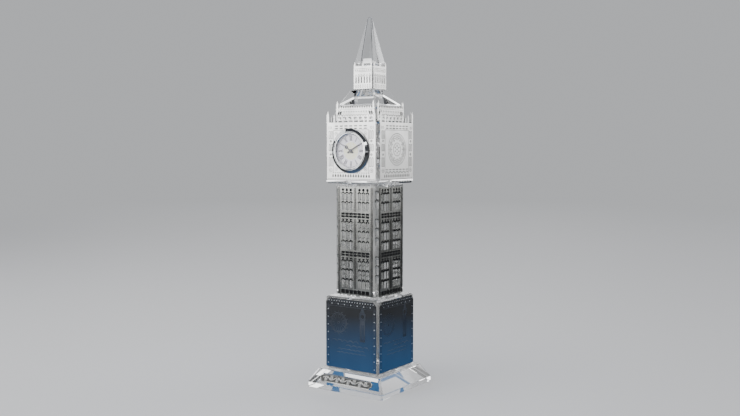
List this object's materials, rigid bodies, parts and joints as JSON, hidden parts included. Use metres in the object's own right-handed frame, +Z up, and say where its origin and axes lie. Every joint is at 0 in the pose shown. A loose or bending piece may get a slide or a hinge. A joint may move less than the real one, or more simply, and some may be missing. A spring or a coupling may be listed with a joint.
{
  "type": "miniature landmark model",
  "caption": "Clear crystal clock-tower ornament: stacked bevelled blocks with etched metal plates, a sloped plinth, a pointed spire and a push-in quartz clock in the head.",
  "frame": {"origin": "middle of the plinth's underside", "axes": "+Z up along the tower; the clock faces -Y; +X is to the right seen from the front"},
  "size_m": [0.075, 0.075, 0.3035],
  "materials": {
    "crystal": "polished clear crystal with bevelled edges",
    "mirror_plate": "polished dark mirror metal with etched dots and a faint etched scene",
    "dark_plate": "etched grey metal with pierced windows",
    "bright_plate": "bright silver etched metal",
    "pewter": "cast pewter with darkened recesses",
    "bezel_chrome": "mirror polished chrome",
    "dark_plastic": "matt moulded plastic",
    "black_rubber": "matt rubber",
    "lens_glass": "clear polished glass",
    "dial_paint": "pale satin dial with printed numerals",
    "hand_paint": "dark satin paint",
    "cell_steel": "plain bright steel"
  },
  "bodies": {
    "tower": {"plinth": "crystal", "name_plate": "pewter", "lower_block": "crystal", "mirror_plate_front": "mirror_plate", "mirror_plate_right": "mirror_plate", "mirror_plate_back": "mirror_plate", "mirror_plate_left": "mirror_plate", "shaft_block": "crystal", "shaft_plate_front": "dark_plate", "shaft_plate_right": "dark_plate", "shaft_plate_back": "dark_plate", "shaft_plate_left": "dark_plate", "head_block": "crystal", "head_plate_front": "bright_plate", "head_plate_right": "bright_plate", "head_plate_back": "bright_plate", "head_plate_left": "bright_plate", "tier_block": "crystal", "tier_plate_front": "bright_plate", "tier_plate_right": "bright_plate", "tier_plate_back": "bright_plate", "tier_plate_left": "bright_plate", "roof": "crystal", "lantern_block": "crystal", "lantern_plate_front": "bright_plate", "lantern_plate_right": "bright_plate", "lantern_plate_back": "bright_plate", "lantern_plate_left": "bright_plate", "spire": "crystal"},
    "clock_unit": {"clock_bezel": "bezel_chrome", "clock_case": "dark_plastic", "clock_gasket": "black_rubber", "clock_lens": "lens_glass", "clock_dial": "dial_paint", "clock_movement": "dark_plastic", "battery_cell": "cell_steel", "clock_back_cover": "dark_plastic"},
    "minute": {"minute_hand": "hand_paint"},
    "hour": {"hour_hand": "hand_paint"},
    "knob": {"setting_knob": "dark_plastic"}
  },
  "joints": [
    {"name": "clock_pull", "type": "slide", "parent": "tower", "child": "clock_unit", "axis": [0, -1, 0], "range_m": [0, 0.0165]},
    {"name": "minute_turn", "type": "hinge", "parent": "clock_unit", "child": "minute", "pos_m": [0, -0.0261, 0.1947], "axis": [0, 1, 0], "continuous": true},
    {"name": "hour_turn", "type": "hinge", "parent": "clock_unit", "child": "hour", "pos_m": [0, -0.0261, 0.1947], "axis": [0, 1, 0], "continuous": true},
    {"name": "knob_turn", "type": "hinge", "parent": "clock_unit", "child": "knob", "pos_m": [0, -0.0261, 0.1947], "axis": [0, 1, 0], "continuous": true}
  ],
  "couplings": [
    {"joint": "hour_turn", "follows": "minute_turn", "ratio": 0.083333},
    {"joint": "knob_turn", "follows": "minute_turn", "ratio": 1}
  ]
}
